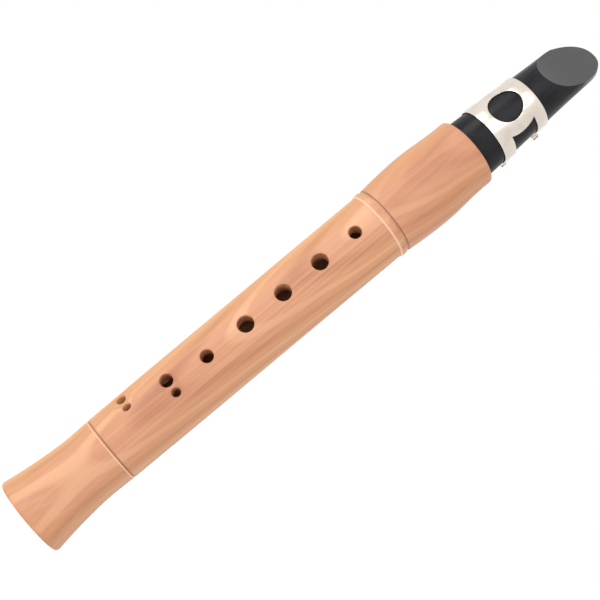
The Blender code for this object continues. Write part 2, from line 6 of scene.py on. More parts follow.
import logging
import math
from dataclasses import dataclass
from enum import Enum

import bpy
from mathutils import Matrix, Vector


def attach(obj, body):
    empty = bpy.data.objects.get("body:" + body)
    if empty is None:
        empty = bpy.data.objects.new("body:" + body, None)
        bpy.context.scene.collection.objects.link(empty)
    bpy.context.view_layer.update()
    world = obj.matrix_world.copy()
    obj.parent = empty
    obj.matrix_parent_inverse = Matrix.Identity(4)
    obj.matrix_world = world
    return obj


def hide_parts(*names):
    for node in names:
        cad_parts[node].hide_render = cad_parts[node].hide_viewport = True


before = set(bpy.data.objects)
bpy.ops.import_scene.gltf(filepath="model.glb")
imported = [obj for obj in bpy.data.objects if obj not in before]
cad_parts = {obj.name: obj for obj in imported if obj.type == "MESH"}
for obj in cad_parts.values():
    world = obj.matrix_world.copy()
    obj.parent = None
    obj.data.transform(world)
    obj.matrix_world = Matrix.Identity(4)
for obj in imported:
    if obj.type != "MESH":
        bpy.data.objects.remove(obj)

MM = 0.001
TAU = 2 * math.pi

# GAP is the clearance between neighbours. Cutters run OVER past an edge and REACH past the wall.
GAP = 0.3 * MM
OVER = 3 * MM
REACH = 25 * MM

ARC_STEPS = 8
SMOOTH_BELOW = math.radians(32)
HEAD_TURN = math.radians(-4.5)

# Most of a noise pattern's values lie in this range.
NOISE_MIDDLE = (0.3, 0.7)

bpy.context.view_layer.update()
LOG = logging.getLogger("pocket_saxophone")

# A Span is a range, a Flat a point of an outline, and a Ring a loop of points in space.
Span = tuple[float, float]
Flat = tuple[float, float]
Point = tuple[float, float, float]
Colour = tuple[float, float, float]
Ring = list[Point]
Outline = list[Flat]
Piece = bpy.types.Object
Material = bpy.types.Material
Socket = bpy.types.NodeSocket


class Body(Enum):
    """The bodies of the frame."""

    TUBE = "body"
    CORK = "cork"
    MOUTHPIECE = "mouthpiece"
    LIGATURE = "ligature"
    REED = "reed"
    UPPER_SCREW = "upper_screw"
    LOWER_SCREW = "lower_screw"


class Slot(Enum):
    """The record's material slots."""

    WOOD = "pear_wood"
    CORK = "cork"
    EBONITE = "ebonite"
    CANE = "cane"
    NICKEL = "nickel"


class Joinery(Enum):
    """What a piece's tools do to it."""

    CUT = "DIFFERENCE"
    JOIN = "UNION"
    TRIM = "INTERSECT"


@dataclass(frozen=True)
class Grain:
    """A noise pattern, and how it shows over the tone below it."""

    stretch: Point
    octaves: float
    shown: Span = NOISE_MIDDLE
    strength: float = 1.0


@dataclass(frozen=True)
class Relief:
    """How strongly and how high a pattern stands out of the surface."""

    strength: float
    height: float


@dataclass(frozen=True)
class Tint:
    """A tone that comes in along one axis."""

    axis: str
    reach: Span
    strength: float
    colour: Colour


class Nodes:
    """A small builder for one tree of shader nodes."""

    # A Mix node has its sockets once for each kind of data, so its colour ones go by number.
    MIX_FACTOR = 0
    MIX_FIRST = 6
    MIX_SECOND = 7
    MIX_RESULT = 2

    def __init__(self, tree: bpy.types.NodeTree, coordinates: str) -> None:
        """Take up a tree and give it coordinates.

        Args:
            tree: the material's or the world's node tree.
            coordinates: the kind that its patterns read.
        """
        self.tree = tree
        self.place = self.add("ShaderNodeTexCoord").outputs[coordinates]

    def add(self, kind: str, **settings: object) -> bpy.types.Node:
        """Add a node and set its plain properties.

        Args:
            kind: the node's type name.
            settings: properties to set on it.

        Returns:
            The new node.
        """
        node = self.tree.nodes.new(kind)
        for key, value in settings.items():
            setattr(node, key, value)
        return node

    def feed(self, target: Socket, source: Socket | Colour | float) -> None:
        """Give an input its source.

        Args:
            target: the input socket.
            source: a socket to link, a linear colour or a number.
        """
        if isinstance(source, Socket):
            self.tree.links.new(source, target)
        elif isinstance(source, tuple):
            target.default_value = (*source, 1.0)
        else:
            target.default_value = source

    def mapped(self, scale: Point, turn: Point = (0, 0, 0), shift: Point = (0, 0, 0)) -> Socket:
        """The coordinates, scaled, turned and shifted.

        Args:
            scale: stretch along each axis, per metre.
            turn: rotation in radians.
            shift: offset after scaling.

        Returns:
            The vector socket.
        """
        node = self.add("ShaderNodeMapping")
        node.inputs["Scale"].default_value = scale
        node.inputs["Rotation"].default_value = turn
        node.inputs["Location"].default_value = shift
        self.feed(node.inputs["Vector"], self.place)
        return node.outputs["Vector"]

    def noise(self, grain: Grain) -> Socket:
        """Noise over the coordinates.

        Args:
            grain: its stretch and octaves.

        Returns:
            The factor socket.
        """
        node = self.add("ShaderNodeTexNoise")
        node.inputs["Scale"].default_value = 1.0
        node.inputs["Detail"].default_value = grain.octaves
        self.feed(node.inputs["Vector"], self.mapped(grain.stretch))
        return node.outputs["Fac"]

    def ramp(self, factor: Socket, places: tuple[float, ...], colours: tuple[Colour, ...]) -> Socket:
        """Turn a factor into a colour.

        Args:
            factor: the value to read.
            places: where each colour stands, in rising order.
            colours: the linear colours.

        Returns:
            The colour socket.
        """
        node = self.add("ShaderNodeValToRGB")
        elements = node.color_ramp.elements
        # A new stop's place is only a start, because the loop below sets them all.
        while len(elements) < len(colours):
            elements.new(0.5)
        for element, place, colour in zip(elements, places, colours):
            element.position = place
            element.color = (*colour, 1.0)
        self.feed(node.inputs["Fac"], factor)
        return node.outputs["Color"]

    def remap(self, value: Socket, source: Span, result: Span) -> Socket:
        """Carry a value smoothly from one range to another, held at its ends.

        Args:
            value: the value to read.
            source: where its range starts and ends.
            result: what comes out there.

        Returns:
            The value socket.
        """
        node = self.add("ShaderNodeMapRange", interpolation_type="SMOOTHSTEP")
        names = ("From Min", "From Max", "To Min", "To Max")
        for name, limit in zip(names, (*source, *result)):
            node.inputs[name].default_value = limit
        self.feed(node.inputs["Value"], value)
        return node.outputs["Result"]

    def mix(self, factor: Socket, first: Socket | Colour, second: Socket | Colour) -> Socket:
        """Blend two colours.

        Args:
            factor: how much of the second one.
            first: a colour socket or a linear colour.
            second: the same.

        Returns:
            The colour socket.
        """
        node = self.add("ShaderNodeMix", data_type="RGBA")
        self.feed(node.inputs[self.MIX_FACTOR], factor)
        self.feed(node.inputs[self.MIX_FIRST], first)
        self.feed(node.inputs[self.MIX_SECOND], second)
        return node.outputs[self.MIX_RESULT]

    def show(self, pattern: Socket, grain: Grain, under: Socket | Colour, over: Colour) -> Socket:
        """One tone laid over another where a grain's pattern is high."""
        return self.mix(self.remap(pattern, grain.shown, (0.0, grain.strength)), under, over)

    def multiply(self, first: Socket, second: Socket | float, plus: Socket | float = 0.0) -> Socket:
        """Multiply two values and add a third.

        Args:
            first: the first factor.
            second: the second one.
            plus: what is added to their product.

        Returns:
            The value socket.
        """
        node = self.add("ShaderNodeMath", operation="MULTIPLY_ADD")
        for target, value in zip(node.inputs, (first, second, plus)):
            self.feed(target, value)
        return node.outputs[0]

    def axes(self) -> dict[str, Socket]:
        """The coordinates one by one.

        Returns:
            A value socket for each of X, Y and Z.
        """
        node = self.add("ShaderNodeSeparateXYZ")
        self.feed(node.inputs["Vector"], self.place)
        return {name: node.outputs[name] for name in "XYZ"}


class Dressing(Nodes):
    """The nodes of one finish, round a Principled surface."""

    def __init__(self, name: str) -> None:
        """Start a material that reads object coordinates.

        Args:
            name: the material's name.
        """
        self.material = bpy.data.materials.new(name)
        self.material.use_nodes = True
        super().__init__(self.material.node_tree, "Object")
        self.shader = self.tree.nodes["Principled BSDF"]

    def surface(self, name: str, source: Socket | Colour | float) -> None:
        """Give one of the surface's inputs its source."""
        self.feed(self.shader.inputs[name], source)

    def roughen(self, pattern: Socket, roughness: Span) -> None:
        """Let a pattern vary the surface's roughness."""
        self.surface("Roughness", self.remap(pattern, NOISE_MIDDLE, roughness))

    def bump(self, pattern: Socket, relief: Relief) -> None:
        """Let a pattern stand out of the surface.

        Args:
            pattern: the height to read.
            relief: how strongly and how high it stands out.
        """
        node = self.add("ShaderNodeBump")
        node.inputs["Strength"].default_value = relief.strength
        node.inputs["Distance"].default_value = relief.height
        self.feed(node.inputs["Height"], pattern)
        self.surface("Normal", node.outputs["Normal"])


@dataclass(frozen=True)
class PearWood:
    """Oiled pear wood with lengthwise streaks and a log's rings cut at a slant."""

    pale: Colour = (0.65, 0.35, 0.198)
    ground: Colour = (0.545, 0.257, 0.142)
    deep: Colour = (0.43, 0.18, 0.098)
    # yellow and brown are painted light and painted shade for the tube's sides, towards -X and towards +X.
    yellow: Colour = (0.62, 0.315, 0.118)
    painted_shade_brown: Colour = (0.50, 0.235, 0.098)
    # This dark brown is painted shade for the grooves.
    groove_shade: Colour = (0.20, 0.085, 0.045)
    # This pale tone is a painted highlight on the lower edges of the ring and the bead.
    paler_tone: Colour = (0.80, 0.50, 0.33)
    log_turn: Point = (math.radians(5), math.radians(-2), 0)
    log_shift: Point = (4 * MM, -50 * MM, 0)
    ring_scale: float = 44
    ring_distortion: float = 5.0
    ring_detail: float = 0.5
    ring_detail_scale: float = 0.28
    ring_places: tuple[float, ...] = (0.0, 0.3, 0.86, 0.97)
    clouds: Grain = Grain((80, 80, 7), 1.5, (0.44, 0.7), 0.35)
    streaks: Grain = Grain((750, 750, 7), 3.0, (0.38, 0.72), 0.45)
    pores: Grain = Grain((2600, 2600, 90), 2.0, (0.62, 0.76), 0.14)
    tints: tuple[Tint, ...] = (
        # The X tints are painted light towards -X, the side facing the key lamp, and painted shade towards
        # +X; the Z tint darkens the wood from the bead upwards.
        Tint("X", (-4 * MM, -15 * MM), 0.7, yellow),
        Tint("X", (6 * MM, 17 * MM), 0.45, painted_shade_brown),
        Tint("Z", (188 * MM, 200 * MM), 0.35, deep),
    )
    lines: tuple[Tint, ...] = (
        # These two bands are painted shade in the grooves of the foot ring and the bead.
        Tint("Z", (43.5 * MM, 44.6 * MM), 0.75, groove_shade),
        Tint("Z", (195.0 * MM, 196.4 * MM), 0.75, groove_shade),
        # These two bands are painted highlights on the lower edges of the foot ring and the bead.
        Tint("Z", (42.6 * MM, 43.6 * MM), 0.75, paler_tone),
        Tint("Z", (190.9 * MM, 192.3 * MM), 0.75, paler_tone),
    )
    roughness: Span = (0.36, 0.50)
    specular: float = 0.35
    relief: Relief = Relief(0.25, 0.05 * MM)

    def figure(self, nodes: Nodes) -> Socket:
        """The log's rings, cut at a slant.

        Args:
            nodes: the material that gets them.

        Returns:
            The colour socket.
        """
        rings = nodes.add("ShaderNodeTexWave", wave_type="RINGS", rings_direction="Z", wave_profile="SIN")
        rings.inputs["Scale"].default_value = self.ring_scale
        rings.inputs["Distortion"].default_value = self.ring_distortion
        rings.inputs["Detail"].default_value = self.ring_detail
        rings.inputs["Detail Scale"].default_value = self.ring_detail_scale
        nodes.feed(rings.inputs["Vector"], nodes.mapped((1, 1, 1), self.log_turn, self.log_shift))
        tones = (self.deep, self.ground, self.ground, self.pale)
        return nodes.ramp(rings.outputs["Fac"], self.ring_places, tones)

    def tinted(self, nodes: Nodes, wood: Socket) -> Socket:
        """The wood with its tints, painted light and shade on its sides, painted shade in the grooves and
        painted highlights on the edges below them.

        Args:
            nodes: the material that gets them.
            wood: the colour below them.

        Returns:
            The colour socket.
        """
        axes = nodes.axes()
        for tint in self.tints:
            share = nodes.remap(axes[tint.axis], tint.reach, (0.0, tint.strength))
            wood = nodes.mix(share, wood, tint.colour)
        for line in self.lines:
            low, high = line.reach
            middle = (low + high) / 2
            rise = nodes.remap(axes[line.axis], (low, middle), (0.0, 1.0))
            fall = nodes.remap(axes[line.axis], (middle, high), (1.0, 0.0))
            share = nodes.remap(nodes.multiply(rise, fall), (0.0, 1.0), (0.0, line.strength))
            wood = nodes.mix(share, wood, line.colour)
        return wood

    def build(self) -> Material:
        """Make the wood's material.

        Returns:
            The material.
        """
        nodes = Dressing("pear_wood_finish")
        clouds = nodes.noise(self.clouds)
        streaks = nodes.noise(self.streaks)
        pores = nodes.noise(self.pores)
        clouded = nodes.show(clouds, self.clouds, self.figure(nodes), self.deep)
        streaked = nodes.show(streaks, self.streaks, clouded, self.pale)
        dotted = nodes.show(pores, self.pores, self.tinted(nodes, streaked), self.deep)
        nodes.surface("Base Color", dotted)
        nodes.surface("Specular IOR Level", self.specular)
        nodes.roughen(streaks, self.roughness)
        nodes.bump(pores, self.relief)
        return nodes.material


@dataclass(frozen=True)
class Ebonite:
    """Black hard rubber, buffed, as on the mouthpiece's sides."""

    name: str = "ebonite_finish"
    dark: Colour = (0.010, 0.010, 0.012)
    paler_tone: Colour = (0.018, 0.018, 0.020)
    roughness: Span = (0.24, 0.36)
    specular: float = 0.14
    haze: Grain = Grain((260, 260, 90), 4.0, (0.35, 0.7))
    fine: Grain = Grain((3000, 3000, 3000), 2.0)
    relief: Relief = Relief(0.08, 0.02 * MM)

    def build(self) -> Material:
        """Make the hard rubber's material.

        Returns:
            The material.
        """
        nodes = Dressing(self.name)
        haze = nodes.noise(self.haze)
        nodes.surface("Base Color", nodes.ramp(haze, self.haze.shown, (self.dark, self.paler_tone)))
        nodes.surface("Specular IOR Level", self.specular)
        nodes.roughen(haze, self.roughness)
        nodes.bump(nodes.noise(self.fine), self.relief)
        return nodes.material


@dataclass(frozen=True)
class BeakEbonite(Ebonite):
    """Hard rubber, more matt, as on the beak's slope; its paler colour is partly a matt finish and partly
    painted reflection.
    """

    name: str = "ebonite_beak_finish"
    # These paler colours are partly painted reflection of the bright surroundings on the slope.
    dark: Colour = (0.035, 0.035, 0.036)
    paler_tone: Colour = (0.05, 0.05, 0.05)
    roughness: Span = (0.41, 0.53)
    specular: float = 0.6


@dataclass(frozen=True)
class Nickel:
    """Warm nickel plate over thin brass sheet, lightly brushed."""

    bright: Colour = (0.80, 0.725, 0.64)
    dull: Colour = (0.71, 0.63, 0.545)
    cloud: Grain = Grain((220, 220, 220), 4.0, (0.3, 0.6))
    brushing: Grain = Grain((500, 500, 6000), 2.0)
    roughness: Span = (0.18, 0.32)
    relief: Relief = Relief(0.06, 0.01 * MM)

    def build(self) -> Material:
        """Make the plated metal's material.

        Returns:
            The material.
        """
        nodes = Dressing("nickel_finish")
        cloud = nodes.noise(self.cloud)
        brushing = nodes.noise(self.brushing)
        nodes.surface("Base Color", nodes.ramp(cloud, self.cloud.shown, (self.dull, self.bright)))
        nodes.surface("Metallic", 1.0)
        nodes.roughen(brushing, self.roughness)
        nodes.bump(brushing, self.relief)
        return nodes.material


@dataclass(frozen=True)
class Cane:
    """Cane: yellow bark below a U-shaped cut, pale fibres on the vamp above it."""

    bark: Colour = (0.52, 0.33, 0.10)
    vamp: Colour = (0.74, 0.60, 0.34)
    fibre: Colour = (0.56, 0.40, 0.18)
    fibres: Grain = Grain((2400, 2400, 30), 4.0, (0.45, 0.7), 0.7)
    mottle: Grain = Grain((700, 700, 60), 3.0, (0.4, 0.75), 0.6)
    cut_z: float = 284 * MM
    cut_rise: float = 6 * MM
    cut_half: float = 6 * MM
    cut_edge: float = 0.4 * MM
    roughness: Span = (0.42, 0.6)
    relief: Relief = Relief(0.3, 0.03 * MM)

    def build(self) -> Material:
        """Make the reed's material.

        Returns:
            The material.
        """
        nodes = Dressing("cane_finish")
        fibres = nodes.noise(self.fibres)
        mottle = nodes.noise(self.mottle)
        pale = nodes.show(fibres, self.fibres, self.vamp, self.fibre)
        yellow = nodes.show(mottle, self.mottle, self.bark, self.fibre)
        axes = nodes.axes()
        square = nodes.multiply(axes["X"], axes["X"])
        level = nodes.multiply(square, -self.cut_rise / self.cut_half**2, axes["Z"])
        above = nodes.remap(level, (self.cut_z - self.cut_edge, self.cut_z + self.cut_edge), (0.0, 1.0))
        nodes.surface("Base Color", nodes.mix(above, yellow, pale))
        nodes.roughen(fibres, self.roughness)
        nodes.bump(fibres, self.relief)
        return nodes.material


@dataclass(frozen=True)
class CorkBark:
    """Ground cork with dark specks."""

    pale: Colour = (0.50, 0.30, 0.15)
    dark: Colour = (0.20, 0.10, 0.045)
    specks: Grain = Grain((1400, 1400, 1400), 3.0, (0.36, 0.55))
    roughness: Span = (0.75, 0.9)
    relief: Relief = Relief(0.5, 0.08 * MM)

    def build(self) -> Material:
        """Make the cork's material.

        Returns:
            The material.
        """
        nodes = Dressing("cork_finish")
        specks = nodes.noise(self.specks)
        nodes.surface("Base Color", nodes.ramp(specks, self.specks.shown, (self.dark, self.pale)))
        nodes.roughen(specks, self.roughness)
        nodes.bump(specks, self.relief)
        return nodes.material


@dataclass(frozen=True)
class StudioWhite:
    """The plain white floor, with a glow that lifts its shadows."""

    colour: Colour = (0.9, 0.9, 0.9)
    roughness: float = 0.9
    glow_colour: Colour = (1, 1, 1)
    glow: float = 0.32

    def build(self) -> Material:
        """Make the floor's material.

        Returns:
            The material.
        """
        nodes = Dressing("studio_white")
        nodes.surface("Base Color", self.colour)
        nodes.surface("Roughness", self.roughness)
        nodes.surface("Emission Color", self.glow_colour)
        nodes.surface("Emission Strength", self.glow)
        return nodes.material


class Modeller:
    """Modelling steps shared by the sub-assemblies."""

    BEVEL_STEPS = 2

    @staticmethod
    def alone(piece: Piece) -> None:
        """Select one object only and make it active.

        Args:
            piece: the object.
        """
        bpy.ops.object.select_all(action="DESELECT")
        piece.select_set(True)
        bpy.context.view_layer.objects.active = piece

    @staticmethod
    def loft(name: str, rings: list[Ring], hollow: bool = False) -> Piece:
        """Extrude a circle through rings of equally many points.

        Args:
            name: the object's name.
            rings: the points of each ring, in order.
            hollow: join the last ring to the first, instead of capping both ends.

        Returns:
            The closed object.
        """
        count = len(rings[0])
        bpy.ops.object.select_all(action="DESELECT")
        fill = "NOTHING" if hollow else "NGON"
        bpy.ops.mesh.primitive_circle_add(vertices=count, radius=1.0, fill_type=fill)
        piece = bpy.context.active_object
        piece.name = name
        bpy.ops.object.mode_set(mode="EDIT")
        bpy.ops.mesh.select_all(action="SELECT")
        for _ in rings[1:]:
            bpy.ops.mesh.extrude_region_move(TRANSFORM_OT_translate={"value": (0, 0, 1)})
        bpy.ops.object.mode_set(mode="OBJECT")
        if hollow:
            ends = (0, len(rings) - 1)
            for vertex in piece.data.vertices:
                vertex.select = round(vertex.co.z) in ends
            for edge in piece.data.edges:
                edge.select = all(piece.data.vertices[i].select for i in edge.vertices)
            bpy.ops.object.mode_set(mode="EDIT")
            bpy.ops.mesh.bridge_edge_loops()
            bpy.ops.object.mode_set(mode="OBJECT")
        for vertex in piece.data.vertices:
            level = round(vertex.co.z)
            index = round(math.atan2(vertex.co.y, vertex.co.x) / TAU * count) % count
            vertex.co = rings[level][index]
        bpy.ops.object.mode_set(mode="EDIT")
        bpy.ops.mesh.select_all(action="SELECT")
        bpy.ops.mesh.normals_make_consistent(inside=False)
        bpy.ops.object.mode_set(mode="OBJECT")
        return piece

    @staticmethod
    def lathe(
        name: str,
        outline: Outline,
        sides: int,
        hollow: bool = False,
        along_x: bool = False,
        centre: Point = (0, 0, 0),
    ) -> Piece:
        """Turn an outline of (radius, height) points.

        Args:
            name: the object's name.
            outline: the points, in order.
            sides: the number of facets.
            hollow: join the outline's end to its start.
            along_x: turn round the X axis instead of Z.
            centre: the axis's place.

        Returns:
            The turned object.
        """
        rings = []
        for radius, height in outline:
            ring = []
            for i in range(sides):
                u = radius * math.cos(i * TAU / sides)
                v = radius * math.sin(i * TAU / sides)
                point = (height, u, v) if along_x else (u, v, height)
                ring.append(tuple(a + b for a, b in zip(point, centre)))
            rings.append(ring)
        return Modeller.loft(name, rings, hollow)

    @staticmethod
    def prism(name: str, outline: Outline, half_width: float) -> Piece:
        """Extrude an outline of (y, z) points to both sides along X."""
        return Modeller.loft(name, [[(x, y, z) for y, z in outline] for x in (-half_width, half_width)])

    @staticmethod
    def work(piece: Piece, tools: list[Piece], joinery: Joinery = Joinery.CUT) -> None:
        """Cut, join or trim a piece with others, which are then deleted.

        Args:
            piece: the object to change.
            tools: the objects to use, in order.
            joinery: what they do to it.
        """
        Modeller.alone(piece)
        for tool in tools:
            step = piece.modifiers.new("step", "BOOLEAN")
            step.operation = joinery.value
            step.solver = "EXACT"
            step.object = tool
            bpy.ops.object.modifier_apply(modifier=step.name)
            bpy.data.objects.remove(tool)

    @staticmethod
    def bevel(piece: Piece, width: float, sharp: float) -> None:
        """Round a piece's sharp edges.

        Args:
            piece: the object to change.
            width: the rounding's width.
            sharp: the least angle in radians that counts as sharp.
        """
        Modeller.alone(piece)
        step = piece.modifiers.new("edge", "BEVEL")
        step.width = width
        step.segments = Modeller.BEVEL_STEPS
        step.limit_method = "ANGLE"
        step.angle_limit = sharp
        bpy.ops.object.modifier_apply(modifier=step.name)

    @staticmethod
    def finish(
        piece: Piece,
        materials: list[Material],
        body: Body,
        slot: Slot,
        nodes: list[str],
        turned: bool = True,
    ) -> Piece:
        """Smooth, dress and mount a piece.

        Args:
            piece: the object.
            materials: its finishes, the main one first.
            body: the body it rides on.
            slot: the record's material slot; not used.
            nodes: the CAD nodes it stands for.
            turned: whether it belongs to the head, which is set at a turn.

        Returns:
            The same object.
        """
        if turned:
            piece.data.transform(Matrix.Rotation(HEAD_TURN, 4, "Z"))
        Modeller.alone(piece)
        bpy.ops.object.shade_smooth_by_angle(angle=SMOOTH_BELOW)
        for material in materials:
            piece.data.materials.append(material)
        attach(piece, body.value)
        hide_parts(*nodes)
        return piece


def between(low: float, high: float, steps: int) -> list[float]:
    """Evenly spaced values from low to high, both included."""
    return [low + (high - low) * i / steps for i in range(steps + 1)]


def arc(centre: Flat, radius: float, start: float, end: float, steps: int) -> Outline:
    """Points along an arc, both ends included."""
    turns = between(start, end, steps)
    return [(centre[0] + radius * math.cos(a), centre[1] + radius * math.sin(a)) for a in turns]


@dataclass(frozen=True)
class Hole:
    """One hole in the tube's wall, in front unless it is turned round the tube."""

    z: float
    radius: float
    shift: float = 0.0
    turn: float = 0.0
    dished: bool = False


@dataclass
class WoodenTube:
    """The turned tube with its holes, dishes, bore and socket."""

    foot_radius: float = 18.3 * MM
    foot_edge: float = 1.4 * MM
    waist_radius: float = 15.1 * MM
    waist_z: float = 33.0 * MM
    flare_power: float = 1.65
    flare_steps: int = 22
    ring_z: float = 43.6 * MM
    ring_radius: float = 15.4 * MM
    ring_crown: float = 0.02 * MM
    ring_step: float = 0.35 * MM
    ring_width: float = 0.7 * MM
    grip_low: float = 15.3 * MM
    grip_high: float = 15.98 * MM
    grip_steps: int = 12
    bead_low_z: float = 190.9 * MM
    bead_high_z: float = 195.1 * MM
    bead_radius: float = 16.6 * MM
    bead_power: float = 0.7
    bead_steps: int = 14
    groove_z: float = 195.6 * MM
    groove_radius: float = 16.05 * MM
    barrel_z: tuple[float, float, float] = (196.2 * MM, 217.5 * MM, 240.0 * MM)
    barrel_radii: tuple[float, float, float] = (16.45 * MM, 17.62 * MM, 16.55 * MM)
    barrel_steps: int = 14
    rim_z: float = 243.9 * MM
    rim_round: float = 1.2 * MM
    bore: float = 7.3 * MM
    bore_chamfer: float = 0.8 * MM
    socket: float = 11.3 * MM
    socket_chamfer: float = 0.6 * MM
    socket_floor: float = 228.0 * MM
    sides: int = 144
    ring_finger_z: float = 79.3 * MM
    little_finger_z: float = 59.9 * MM
    little_finger_turn: float = math.radians(-35.7)
    holes: tuple[Hole, ...] = (
        Hole(179.7 * MM, 2.9 * MM),
        Hole(160.2 * MM, 3.75 * MM),
        Hole(139.9 * MM, 3.75 * MM),
        Hole(119.4 * MM, 3.75 * MM),
        Hole(98.5 * MM, 2.95 * MM),
        Hole(ring_finger_z, 2.95 * MM, -3.45 * MM, dished=True),
        Hole(ring_finger_z, 2.05 * MM, 3.15 * MM, dished=True),
        Hole(little_finger_z, 2.15 * MM, -3.05 * MM, little_finger_turn, dished=True),
        Hole(little_finger_z, 2.0 * MM, 3.05 * MM, little_finger_turn, dished=True),
        Hole(186.0 * MM, 3.0 * MM, turn=math.pi),
    )
    hole_sides: int = 40
    hole_chamfer: float = 0.35 * MM
    hole_slant: float = 1.2
    cutter_lift: float = 0.06 * MM
    cutter_inner_y: float = -4.5 * MM
    cutter_outer_y: float = -22 * MM
    scoop_radius: float = 9.6 * MM
    scoop_depth: float = 1.25 * MM
    scoop_half: float = 9.0 * MM
    scoop_sides: int = 160

    def grip(self, z: float) -> float:
        """The plain stretch's radius at a height."""
        return self.grip_low + (self.grip_high - self.grip_low) * z / self.bead_low_z

    def flare(self, z: float) -> float:
        """The foot's radius at a height."""
        share = (1 - z / self.waist_z) ** self.flare_power
        return self.waist_radius + (self.foot_radius - self.waist_radius) * share

    def barrel(self, z: float) -> float:
        """The socket swelling's radius at a height.

        Args:
            z: the height.

        Returns:
            The radius.
        """
        low, mid, high = self.barrel_z
        start, top, end = self.barrel_radii
        if z < mid:
            return start + (top - start) * math.sin((z - low) / (mid - low) * math.pi / 2)
        return end + (top - end) * (0.5 + 0.5 * math.cos((z - mid) / (high - mid) * math.pi))

    def bead(self, share: float) -> Flat:
        """A point of the bead under the groove.

        Args:
            share: how far up the bead it is, from 0 to 1.

        Returns:
            The point's radius and height.
        """
        base = self.grip_high + (self.groove_radius - self.grip_high) * share
        swell = (self.bead_radius - base) * math.sin(math.pi * share) ** self.bead_power
        return base + swell, self.bead_low_z + (self.bead_high_z - self.bead_low_z) * share

    def scoop_y(self, z: float) -> float:
        """How far in front the axis of a dish's round floor lies."""
        return -(self.grip(z) - self.scoop_depth + self.scoop_radius)

    def outline(self) -> Outline:
        """The tube's section, up the outside and down the inside.

        Returns:
            The section's (radius, height) points.
        """
        edge = self.foot_edge
        low, mid, high = self.barrel_z
        round_foot = (self.flare(edge) - edge, edge)
        round_rim = (self.barrel_radii[2] - self.rim_round, self.rim_z - self.rim_round)
        ring_top = self.ring_z + self.ring_width
        points = arc(round_foot, edge, -math.pi / 2, 0, ARC_STEPS)
        points += [(self.flare(z), z) for z in between(edge, self.waist_z, self.flare_steps)[1:]]
        points += [
            (self.ring_radius, self.ring_z - self.ring_width),
            (self.ring_radius + self.ring_crown, self.ring_z - self.ring_width / 3),
            (self.ring_radius - self.ring_step, self.ring_z),
            (self.grip(self.ring_z), ring_top),
        ]
        points += [(self.grip(z), z) for z in between(ring_top, self.bead_low_z, self.grip_steps)[1:]]
        points += [self.bead(share) for share in between(0, 1, self.bead_steps)[1:-1]]
        points += [(self.groove_radius, self.bead_high_z), (self.groove_radius, self.groove_z)]
        points += [(self.barrel(z), z) for z in between(low, mid, self.barrel_steps)]
        points += [(self.barrel(z), z) for z in between(mid, high, self.barrel_steps)[1:]]
        points += arc(round_rim, self.rim_round, 0, math.pi / 2, ARC_STEPS)
        points += [
            (self.socket + self.socket_chamfer, self.rim_z),
            (self.socket, self.rim_z - self.socket_chamfer),
            (self.socket, self.socket_floor),
            (self.bore, self.socket_floor),
            (self.bore, self.bore_chamfer),
            (self.bore + self.bore_chamfer, 0),
        ]
        return points

    def skin_y(self, hole: Hole, x: float, dz: float) -> float:
        """How far in front the wood's surface lies beside a hole.

        Args:
            hole: the hole.
            x: the place across the tube.
            dz: the height over the hole's centre.

        Returns:
            The surface's Y.
        """
        tube = -math.sqrt(self.grip(hole.z) ** 2 - x**2)
        if not hole.dished:
            return tube
        return max(tube, self.scoop_y(hole.z) + math.sqrt(self.scoop_radius**2 - dz**2))

    def drill(self, hole: Hole) -> Piece:
        """A cutter for one hole, with a chamfer that follows the surface.

        Args:
            hole: the hole.

        Returns:
            The cutter.
        """
        wide = hole.radius + self.hole_chamfer * self.hole_slant
        # A level's Y is counted from the skin where its last value says so.
        levels = (
            (hole.radius, self.cutter_inner_y, False),
            (hole.radius, self.hole_chamfer, True),
            (wide, -self.cutter_lift, True),
            (wide, self.cutter_outer_y, False),
        )
        rings = []
        for radius, y, on_skin in levels:
            ring = []
            for angle in between(0, TAU, self.hole_sides)[:-1]:
                x = hole.shift + radius * math.cos(angle)
                dz = radius * math.sin(angle)
                start = self.skin_y(hole, x, dz) if on_skin else 0.0
                ring.append((x, start + y, hole.z + dz))
            rings.append(ring)
        cutter = Modeller.loft("hole_cutter", rings)
        cutter.data.transform(Matrix.Rotation(hole.turn, 4, "Z"))
        return cutter

    def dish(self, z: float, turn: float = 0.0) -> Piece:
        """A cutter for the dish round a pair of holes.

        Args:
            z: the pair's height.
            turn: how far it is turned round the tube.

        Returns:
            The cutter.
        """
        outline = [(self.scoop_radius, -self.scoop_half), (self.scoop_radius, self.scoop_half)]
        centre = (0, self.scoop_y(z), z)
        cutter = Modeller.lathe("dish_cutter", outline, self.scoop_sides, along_x=True, centre=centre)
        cutter.data.transform(Matrix.Rotation(turn, 4, "Z"))
        return cutter

    def build(self, wood: Material) -> list[Piece]:
        """Model and dress the tube.

        Args:
            wood: its finish.

        Returns:
            The tube, as the one piece of a list.
        """
        tube = Modeller.lathe("wooden_tube", self.outline(), self.sides, hollow=True)
        cutters = [self.dish(self.ring_finger_z), self.dish(self.little_finger_z, self.little_finger_turn)]
        cutters += [self.drill(hole) for hole in self.holes]
        Modeller.work(tube, cutters)
        return [Modeller.finish(tube, [wood], Body.TUBE, Slot.WOOD, ["body_tube"], turned=False)]


